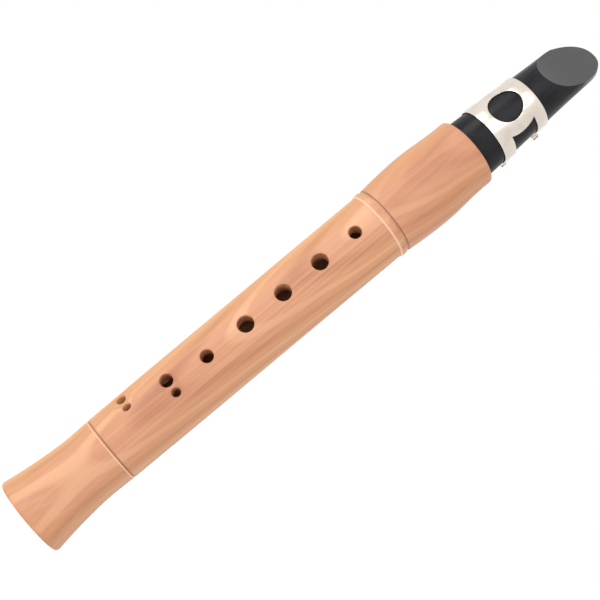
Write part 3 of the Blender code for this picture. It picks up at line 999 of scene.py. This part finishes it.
@dataclass
class Mouthpiece:
    """The beaked mouthpiece with its cork."""

    tenon: float = 10.8 * MM
    tenon_z: float = 228.5 * MM
    cork_z: Span = (230.8 * MM, 241.2 * MM)
    cork_radius: float = 11.0 * MM
    cork_thickness: float = 0.9 * MM
    cork_edge: float = 0.3 * MM
    shoulder_z: float = 244.2 * MM
    shoulder: float = 14.15 * MM
    chamfer: float = 0.4 * MM
    chamfer_corner: float = 0.3
    seat: Flat = (12.45 * MM, 280.0 * MM)
    beak_foot: Flat = (11.85 * MM, 291.0 * MM)
    tip_radius: float = 10.6 * MM
    tip_z: float = 320.0 * MM
    throat_z: float = 276.0 * MM
    bore: float = 7.3 * MM
    table_low: Flat = (10.62 * MM, 250.5 * MM)
    table_slope: float = -0.034
    table_run_out: float = 4.0 * MM
    lay_z: float = 300.0 * MM
    lay_opening: float = 0.8 * MM
    lay_steps: int = 14
    beak_tip_y: float = 6.9 * MM
    beak_angle: float = math.radians(28.6)
    beak_straight: float = 23.1 * MM
    beak_out: float = 0.5
    beak_up: float = 0.25
    heel_radius: float = 60.0 * MM
    heel_turn: float = math.radians(15)
    heel_steps: int = 12
    outline_z: float = 296.0 * MM
    outline_half: float = 11.6 * MM
    outline_power: float = 2.3
    outline_lead: float = 2.0 * MM
    outline_steps: int = 36
    window_z: float = 286.5 * MM
    window_half: float = 5.0 * MM
    window_slope: float = 2.5 * MM
    chamber_z: float = 272.0 * MM
    chamber_depth: float = 6.6 * MM
    chamber_steps: int = 16
    roof: Span = (0.9 * MM, 3.4 * MM)
    roof_z: float = 293.0 * MM
    tip_rail: float = 1.3 * MM
    side_rail: float = 1.1 * MM
    rail_lead: float = 0.6
    sides: int = 144

    def table_y(self, z: float) -> float:
        """The table's depth at a height."""
        return self.table_low[0] + self.table_slope * (z - self.table_low[1])

    def lay_y(self, z: float) -> float:
        """The depth of the table with the facing's curve near the tip."""
        share = max(0.0, (z - self.lay_z) / (self.tip_z - self.lay_z))
        return self.table_y(z) - self.lay_opening * share**2

    def beak_line(self) -> Outline:
        """The beak's slope, from above the tip down to the heel.

        Returns:
            The slope's (y, z) points.
        """
        angle = self.beak_angle
        down = Vector((-math.sin(angle), -math.cos(angle)))
        tip = Vector((self.beak_tip_y, self.tip_z))
        bend = tip + down * self.beak_straight
        centre = bend + Vector((-math.cos(angle), math.sin(angle))) * self.heel_radius
        points = [tip - down * OVER, bend]
        for turn in between(0, self.heel_turn, self.heel_steps)[1:]:
            spoke = Vector((math.cos(angle + turn), -math.sin(angle + turn)))
            points.append(centre + spoke * self.heel_radius)
        return [tuple(point) for point in points]

    def beak_y(self, z: float) -> float:
        """The beak's depth at a height.

        Args:
            z: the height.

        Returns:
            The beak line's Y there, or the heel's below it.
        """
        points = self.beak_line()
        for (high_y, high_z), (low_y, low_z) in zip(points, points[1:]):
            if z >= low_z:
                return low_y + (high_y - low_y) * (z - low_z) / (high_z - low_z)
        return points[-1][0]

    def half_width(self, z: float) -> float:
        """Half the width near the rounded tip."""
        share = min(1.0, max(0.0, (z - self.outline_z) / (self.tip_z - self.outline_z)))
        return self.outline_half * (1 - share**self.outline_power) ** (1 / self.outline_power)

    def turned_outline(self) -> Outline:
        """The lathe's outline, down the blind bore and up the outside.

        Returns:
            The outline's (radius, height) points.
        """
        groove = self.cork_radius - self.cork_thickness - GAP
        corner = self.chamfer * self.chamfer_corner
        low, high = self.cork_z
        return [
            (self.bore, self.throat_z),
            (self.bore, self.tenon_z),
            (self.tenon - self.chamfer, self.tenon_z),
            (self.tenon, self.tenon_z + self.chamfer),
            (self.tenon, low - GAP),
            (groove, low - GAP),
            (groove, high + GAP),
            (self.tenon, high + GAP),
            (self.tenon, self.shoulder_z),
            (self.shoulder - self.chamfer, self.shoulder_z),
            (self.shoulder - corner, self.shoulder_z + corner),
            (self.shoulder, self.shoulder_z + self.chamfer),
            self.seat,
            self.beak_foot,
            (self.tip_radius, self.tip_z + OVER),
        ]

    def beak_cutter(self) -> Piece:
        """What lies in front of the beak.

        Returns:
            The cutter.
        """
        points = self.beak_line()
        outline = points + [(-REACH, points[-1][1]), (-REACH, points[0][1])]
        return Modeller.prism("beak_cutter", outline, REACH)

    def table_cutter(self) -> Piece:
        """What lies behind the table and the facing.

        Returns:
            The cutter.
        """
        table_y, table_z = self.table_low
        low_z = table_z - self.table_run_out
        high_z = self.tip_z + OVER
        outline = [(table_y + self.table_run_out, low_z), (table_y, table_z)]
        outline += [(self.lay_y(z), z) for z in between(self.lay_z, high_z, self.lay_steps)]
        outline += [(REACH, high_z), (REACH, low_z)]
        return Modeller.prism("table_cutter", outline, REACH)

    def trimmer(self) -> Piece:
        """The outline from the front, as a block to keep what lies inside it.

        Returns:
            The block.
        """
        right = []
        for turn in between(0, math.pi / 2, self.outline_steps):
            z = self.outline_z + (self.tip_z - self.outline_z) * math.sin(turn)
            right.append((self.half_width(z), z))
        outline = [(REACH, self.tenon_z - REACH), (REACH, self.outline_z - self.outline_lead)] + right
        outline += [(-x, z) for x, z in reversed(outline[:-1])]
        return Modeller.loft("tip_trimmer", [[(x, y, z) for x, z in outline] for y in (REACH, -REACH)])

    def chamber_cutter(self) -> Piece:
        """The chamber under the beak, open through the window.

        Returns:
            The cutter.
        """
        thin, thick = self.roof
        rings = []
        heights = [self.chamber_z, self.window_z, self.window_z + self.window_slope]
        heights += between(self.roof_z, self.tip_z - self.tip_rail, self.chamber_steps)
        for z in heights:
            share = min(1.0, (self.tip_z - z) / (self.tip_z - self.beak_foot[1]))
            front = max(-self.chamber_depth, self.beak_y(z) + (thin + (thick - thin) * share))
            back = self.chamber_depth if z <= self.window_z else self.table_y(z) + OVER
            rail = self.half_width(z + self.tip_rail * self.rail_lead) - self.side_rail
            half = min(self.window_half, rail)
            rings.append([(-half, front, z), (half, front, z), (half, back, z), (-half, back, z)])
        return Modeller.loft("chamber_cutter", rings)

    def on_beak(self, face: bpy.types.MeshPolygon) -> bool:
        """Whether a face lies on the beak's slope."""
        leans = face.normal.y < -self.beak_out and face.normal.z > self.beak_up
        return leans and face.center.z > self.throat_z

    def build_body(self, sides: Material, beak: Material) -> Piece:
        """Model and dress the mouthpiece itself.

        Args:
            sides: its finish.
            beak: the finish on the beak's slope.

        Returns:
            The mouthpiece.
        """
        piece = Modeller.lathe("beaked_mouthpiece", self.turned_outline(), self.sides)
        Modeller.work(piece, [self.beak_cutter(), self.table_cutter(), self.chamber_cutter()])
        Modeller.work(piece, [self.trimmer()], Joinery.TRIM)
        for face in piece.data.polygons:
            face.material_index = 1 if self.on_beak(face) else 0
        return Modeller.finish(piece, [sides, beak], Body.MOUTHPIECE, Slot.EBONITE, ["mouthpiece"])

    def build_cork(self, cork: Material) -> Piece:
        """Model and dress the cork on the tenon.

        Args:
            cork: its finish.

        Returns:
            The cork.
        """
        low, high = self.cork_z
        outer, edge = self.cork_radius, self.cork_edge
        inner = outer - self.cork_thickness
        profile = [(inner, low), (outer - edge, low), (outer, low + edge)]
        profile += [(outer, high - edge), (outer - edge, high), (inner, high)]
        piece = Modeller.lathe("cork_ring", profile, self.sides, hollow=True)
        return Modeller.finish(piece, [cork], Body.CORK, Slot.CORK, ["tenon_cork"])

    def build(self, sides: Material, beak: Material, cork: Material) -> list[Piece]:
        """Build the mouthpiece and its cork."""
        return [self.build_body(sides, beak), self.build_cork(cork)]


@dataclass
class Reed:
    """The cane reed on the mouthpiece's table."""

    shape: Mouthpiece
    heel_z: float = 252.0 * MM
    heel_flat: float = 1.0 * MM
    tip_z: float = 319.7 * MM
    thickness: float = 2.6 * MM
    tip_thickness: float = 0.35 * MM
    vamp_z: float = 284.0 * MM
    vamp_power: float = 0.85
    vamp_steps: int = 14
    curve_z: float = 312.0 * MM
    curve_heights: tuple[float, ...] = (314 * MM, 315.5 * MM, 317 * MM, 318 * MM, 318.8 * MM, 319.3 * MM)
    heel_half: float = 5.8 * MM
    tip_half: float = 6.5 * MM
    bark_radius: float = 12.4 * MM
    bark_steps: int = 24

    def section(self, z: float) -> Ring:
        """The reed's section at a height.

        Args:
            z: the height.

        Returns:
            The section's points, flat side first.
        """
        share = (z - self.heel_z) / (self.tip_z - self.heel_z)
        half = self.heel_half + (self.tip_half - self.heel_half) * share
        half = min(half, self.shape.half_width(z + self.shape.tip_z - self.tip_z) - GAP)
        vamp = max(0.0, (z - self.vamp_z) / (self.tip_z - self.vamp_z))
        top = self.thickness + (self.tip_thickness - self.thickness) * vamp**self.vamp_power
        flat = self.shape.table_y(z) + GAP
        points = [(half, flat, z), (-half, flat, z)]
        for x in between(-half, half, self.bark_steps):
            drop = self.bark_radius - math.sqrt(self.bark_radius**2 - x**2)
            points.append((x, flat + max(top - drop, min(top, self.tip_thickness)), z))
        return points

    def build(self, cane: Material) -> list[Piece]:
        """Model and dress the reed.

        Args:
            cane: its finish.

        Returns:
            The reed, as the one piece of a list.
        """
        heights = [self.heel_z, self.heel_z + self.heel_flat]
        heights += between(self.vamp_z, self.curve_z, self.vamp_steps)
        heights += self.curve_heights
        piece = Modeller.loft("cane_reed", [self.section(z) for z in heights])
        return [Modeller.finish(piece, [cane], Body.REED, Slot.CANE, ["reed"])]


@dataclass
class Ligature:
    """The punched band, its posts and its screws."""

    low_z: float = 253.5 * MM
    high_z: float = 279.5 * MM
    low_radius: float = 14.55 * MM
    high_radius: float = 13.25 * MM
    thickness: float = 0.45 * MM
    band_sides: int = 160
    band_steps: int = 6
    band_edge: float = 0.12 * MM
    sharp: float = math.radians(50)
    opening_half: float = 2.6 * MM
    opening_y: float = 5.0 * MM
    punch_start: float = 3.0 * MM
    window: float = 7.85 * MM
    window_sides: int = 72
    disc: float = 14.2 * MM
    disc_steps: int = 16
    lower_top: float = 260.0 * MM
    upper_low: float = 273.6 * MM
    side_end: float = math.radians(136)
    side_steps: int = 8
    lower_screw_z: float = 256.9 * MM
    upper_screw_z: float = 276.4 * MM
    screw_y: float = 16.3 * MM
    shank: float = 1.0 * MM
    shank_end: float = 9.5 * MM
    shank_chamfer: float = 0.4 * MM
    thread_start: float = 0.6 * MM
    thread_pitch: float = 0.7 * MM
    thread_depth: float = 0.14 * MM
    thread_turns: int = 26
    head: float = 3.2 * MM
    head_x: Span = (-19.0 * MM, -14.0 * MM)
    head_crown: float = 0.7 * MM
    head_crown_lift: float = 0.25 * MM
    head_crown_edge: float = 0.2 * MM
    head_centre: float = 0.8 * MM
    head_chamfer_in: float = 0.35 * MM
    head_chamfer_along: float = 0.4 * MM
    collar: float = 1.9 * MM
    collar_x: float = -11.0 * MM
    knurls: int = 30
    knurl_sides: int = 4
    knurl_depth: float = 0.14 * MM
    knurl_reach: float = 0.1 * MM
    post: float = 1.9 * MM
    post_round: float = 0.5 * MM
    post_steps: int = 5
    post_sides: int = 48
    plain_x: Span = (-10.6 * MM, -4.6 * MM)
    plain_foot_x: float = -6.2 * MM
    threaded_x: Span = (4.3 * MM, 10.0 * MM)
    threaded_foot_x: float = 5.9 * MM
    foot_half: float = 1.4 * MM
    foot_length: float = 3.0 * MM
    foot_y: float = 10.0 * MM

    def radius(self, z: float) -> float:
        """The band's outer radius at a height."""
        rise = (self.high_radius - self.low_radius) * (z - self.low_z) / (self.high_z - self.low_z)
        return self.low_radius + rise

    def punch(self, name: str, outline: Outline) -> Piece:
        """A radial cutter for an outline of (angle from the front, height) points.

        Args:
            name: the cutter's name.
            outline: the points, in order.

        Returns:
            The cutter.
        """
        rings = []
        for radius in (self.punch_start, REACH):
            rings.append([(radius * math.sin(a), -radius * math.cos(a), z) for a, z in outline])
        return Modeller.loft(name, rings)

    def side_window(self, side: int, mid_z: float, mid_radius: float) -> Outline:
        """The window between the straps on one side.

        Args:
            side: 1 or -1.
            mid_z: the height of the band's middle.
            mid_radius: the band's radius there.

        Returns:
            The window's (angle, height) points.
        """
        low = math.asin((self.lower_top - mid_z) / self.disc)
        high = math.asin((self.upper_low - mid_z) / self.disc)
        near, far = self.disc / mid_radius, self.side_end
        points = [(u / mid_radius, z) for u, z in arc((0, mid_z), self.disc, low, high, self.disc_steps)]
        points += [(a, self.upper_low) for a in between(near, far, self.side_steps)[1:]]
        points += [(a, self.lower_top) for a in between(far, near, self.side_steps)[:-1]]
        return [(side * a, z) for a, z in points]

    def build_band(self, nickel: Material) -> Piece:
        """Model and dress the band.

        Args:
            nickel: its finish.

        Returns:
            The band.
        """
        low, high = self.low_z, self.high_z
        profile = [(self.low_radius - self.thickness, low), (self.low_radius, low)]
        profile += [(self.radius(z), z) for z in between(low, high, self.band_steps)[1:-1]]
        profile += [(self.high_radius, high), (self.high_radius - self.thickness, high)]
        band = Modeller.lathe("ligature_shell", profile, self.band_sides, hollow=True)
        mid_z = (low + high) / 2
        mid_radius = self.radius(mid_z)
        circle = arc((0, mid_z), self.window, 0, TAU, self.window_sides)[:-1]
        cutters = [self.punch("front_window", [(u / mid_radius, z) for u, z in circle])]
        cutters += [self.punch("side_window", self.side_window(side, mid_z, mid_radius)) for side in (1, -1)]
        bottom, top = low - OVER, high + OVER
        gap = [(self.opening_y, bottom), (REACH, bottom), (REACH, top), (self.opening_y, top)]
        cutters.append(Modeller.prism("opening", gap, self.opening_half))
        Modeller.work(band, cutters)
        Modeller.bevel(band, self.band_edge, self.sharp)
        return Modeller.finish(band, [nickel], Body.LIGATURE, Slot.NICKEL, ["ligature_band"])

    def build_post(self, name: str, reach: Span, foot_x: float, screw_z: float, nickel: Material) -> Piece:
        """Model and dress one post.

        Args:
            name: the CAD node it stands for.
            reach: where its barrel starts and ends along X.
            foot_x: the middle of its foot.
            screw_z: the screw's height.
            nickel: its finish.

        Returns:
            The post.
        """
        low, high = reach
        centre = (0, self.screw_y, screw_z)
        corner, edge = self.post - self.post_round, self.post_round
        barrel = arc((corner, low + edge), edge, -math.pi / 2, 0, self.post_steps)
        barrel += arc((corner, high - edge), edge, 0, math.pi / 2, self.post_steps)
        piece = Modeller.lathe(name + "_barrel", barrel, self.post_sides, along_x=True, centre=centre)
        foot_low, foot_high = screw_z - self.foot_half, screw_z + self.foot_half
        sides = [(self.foot_y, foot_low), (self.screw_y, foot_low)]
        sides += [(self.screw_y, foot_high), (self.foot_y, foot_high)]
        foot = Modeller.prism("foot", sides, self.foot_length / 2)
        foot.data.transform(Matrix.Translation((foot_x, 0, 0)))
        Modeller.work(piece, [foot], Joinery.JOIN)
        bottom, top = self.low_z - OVER, self.high_z + OVER
        cone = [(self.radius(bottom) + GAP, bottom), (self.radius(top) + GAP, top)]
        hole = [(self.shank + GAP, low - OVER), (self.shank + GAP, high + OVER)]
        seat = Modeller.lathe("seat", cone, self.band_sides)
        bore = Modeller.lathe("bore", hole, self.post_sides, along_x=True, centre=centre)
        Modeller.work(piece, [seat, bore])
        return Modeller.finish(piece, [nickel], Body.LIGATURE, Slot.NICKEL, [name])

    def screw_outline(self) -> Outline:
        """A screw's outline, from the head's flat end to the thread's end.

        Returns:
            The outline's (radius, x) points.
        """
        outer, inner = self.head_x
        points = [
            (self.head_centre, outer),
            (self.head - self.head_crown, outer),
            (self.head - self.head_crown_edge, outer + self.head_crown_lift),
            (self.head, outer + self.head_crown),
            (self.head, inner - self.head_chamfer_along),
            (self.head - self.head_chamfer_in, inner),
            (self.collar, inner),
            (self.collar, self.collar_x),
            (self.shank, self.collar_x),
        ]
        for turn in range(self.thread_turns):
            x = self.collar_x + (self.thread_start + self.thread_pitch * turn)
            points += [(self.shank, x), (self.shank - self.thread_depth, x + self.thread_pitch / 2)]
        points += [
            (self.shank, self.shank_end - self.shank_chamfer),
            (self.shank - self.shank_chamfer, self.shank_end),
        ]
        return points

    def build_screw(self, name: str, screw_z: float, body: Body, nickel: Material) -> Piece:
        """Model and dress one screw with a knurled head and a turned thread.

        Args:
            name: the CAD node it stands for.
            screw_z: the screw's height.
            body: the body it rides on.
            nickel: its finish.

        Returns:
            The screw.
        """
        sides = self.knurls * self.knurl_sides
        piece = Modeller.lathe(name + "_turned", self.screw_outline(), sides, along_x=True)
        for vertex in piece.data.vertices:
            reach = math.hypot(vertex.co.y, vertex.co.z)
            if reach > self.head - self.knurl_reach:
                phase = math.atan2(vertex.co.z, vertex.co.y) * self.knurls
                scale = 1 - self.knurl_depth * (0.5 - 0.5 * math.cos(phase)) / reach
                vertex.co.y *= scale
                vertex.co.z *= scale
        piece.data.transform(Matrix.Translation((0, self.screw_y, screw_z)))
        return Modeller.finish(piece, [nickel], body, Slot.NICKEL, [name])

    def build(self, nickel: Material) -> list[Piece]:
        """Build the whole ligature.

        Args:
            nickel: the finish of all its pieces.

        Returns:
            The band, then each screw's two posts and the screw.
        """
        pieces = [self.build_band(nickel)]
        levels = (
            ("lower", self.lower_screw_z, Body.LOWER_SCREW),
            ("upper", self.upper_screw_z, Body.UPPER_SCREW),
        )
        for level, z, body in levels:
            plain, threaded = f"{level}_plain_post", f"{level}_threaded_post"
            pieces.append(self.build_post(plain, self.plain_x, self.plain_foot_x, z, nickel))
            pieces.append(self.build_post(threaded, self.threaded_x, self.threaded_foot_x, z, nickel))
            pieces.append(self.build_screw(f"{level}_ligature_screw", z, body, nickel))
        return pieces


@dataclass(frozen=True)
class Lamp:
    """One soft square lamp: its name, place, side in metres and power in watts."""

    name: str
    place: Point
    size: float
    watts: float


@dataclass
class Studio:
    """Floor, world, lamps and the photograph's camera."""

    floor_half: float = 4.0
    floor_z: float = -0.05 * MM
    sky: Colour = (1, 1, 1)
    dark_x: Span = (0.45, 0.95)
    dark_side: float = 0.9
    lamps: tuple[Lamp, ...] = (
        Lamp("key", (-0.75, -0.75, 0.35), 0.45, 2.6),
        Lamp("fill", (0.1, -0.95, 0.6), 0.7, 2.2),
    )
    aim: Point = (0, 0, 170 * MM)
    azimuth: float = math.radians(15.8)
    yaw: float = math.radians(0.290)
    pitch: float = math.radians(7.383)
    roll: float = math.radians(39.9144)
    distance: float = 558.3 * MM
    height: float = 72.9 * MM
    photo_pixels: float = 600
    focal_pixels: float = 1311.6
    sensor: float = 36
    clip_start: float = 10 * MM

    def build(self) -> None:
        """Make the floor, the world, the lamps and the camera."""
        self.build_floor()
        self.build_world()
        for lamp in self.lamps:
            self.hang(lamp)
        self.place_camera()
        bpy.context.scene.view_settings.view_transform = "Standard"

    def build_floor(self) -> None:
        """Lay the floor just under the foot."""
        bpy.ops.object.select_all(action="DESELECT")
        bpy.ops.mesh.primitive_plane_add(size=2 * self.floor_half, location=(0, 0, self.floor_z))
        floor = bpy.context.active_object
        floor.name = "studio_floor"
        floor.data.materials.append(StudioWhite().build())

    def build_world(self) -> None:
        """Make a white world, a little darker towards +X."""
        world = bpy.data.worlds.new("studio")
        bpy.context.scene.world = world
        world.use_nodes = True
        nodes = Nodes(world.node_tree, "Generated")
        background = nodes.tree.nodes["Background"]
        shade = nodes.remap(nodes.axes()["X"], self.dark_x, (1.0, self.dark_side))
        nodes.feed(background.inputs["Color"], self.sky)
        nodes.feed(background.inputs["Strength"], shade)

    def hang(self, lamp: Lamp) -> None:
        """Add a lamp that faces the middle of the object.

        Args:
            lamp: its measures.
        """
        data = bpy.data.lights.new(lamp.name, "AREA")
        data.size = lamp.size
        data.energy = lamp.watts
        hung = bpy.data.objects.new(lamp.name, data)
        bpy.context.scene.collection.objects.link(hung)
        hung.location = lamp.place
        beam = Vector(self.aim) - Vector(lamp.place)
        hung.rotation_euler = beam.to_track_quat("-Z", "Y").to_euler()

    def place_camera(self) -> None:
        """Place the camera as the photograph's was."""
        level = math.cos(self.pitch)
        forward = Vector((math.sin(self.yaw) * level, math.cos(self.yaw) * level, math.sin(self.pitch)))
        side = forward.cross(Vector((0, 0, 1))).normalized()
        top = side.cross(forward)
        lean, lift = math.cos(self.roll), math.sin(self.roll)
        right = lean * top + lift * side
        up = lift * top - lean * side
        turn = Matrix.Rotation(self.azimuth, 3, "Z")
        facing = turn @ Matrix((right, up, -forward)).transposed()
        place = turn @ Vector((0, -self.distance, self.height))
        data = bpy.data.cameras.new("photograph")
        data.sensor_width = self.sensor
        data.lens = self.focal_pixels / self.photo_pixels * self.sensor
        data.clip_start = self.clip_start
        camera = bpy.data.objects.new("photograph", data)
        bpy.context.scene.collection.objects.link(camera)
        camera.matrix_world = Matrix.Translation(place) @ facing.to_4x4()
        bpy.context.scene.camera = camera


def main() -> None:
    """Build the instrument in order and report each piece."""
    logging.basicConfig(level=logging.INFO)
    nickel = Nickel().build()
    ebonite = Ebonite().build()
    beak = BeakEbonite().build()
    mouthpiece = Mouthpiece()
    pieces = WoodenTube().build(PearWood().build())
    pieces += mouthpiece.build(ebonite, beak, CorkBark().build())
    pieces += Reed(mouthpiece).build(Cane().build())
    pieces += Ligature().build(nickel)
    for piece in pieces:
        LOG.info("%s has %d faces", piece.name, len(piece.data.polygons))
    Studio().build()


if __name__ == "__main__":
    main()
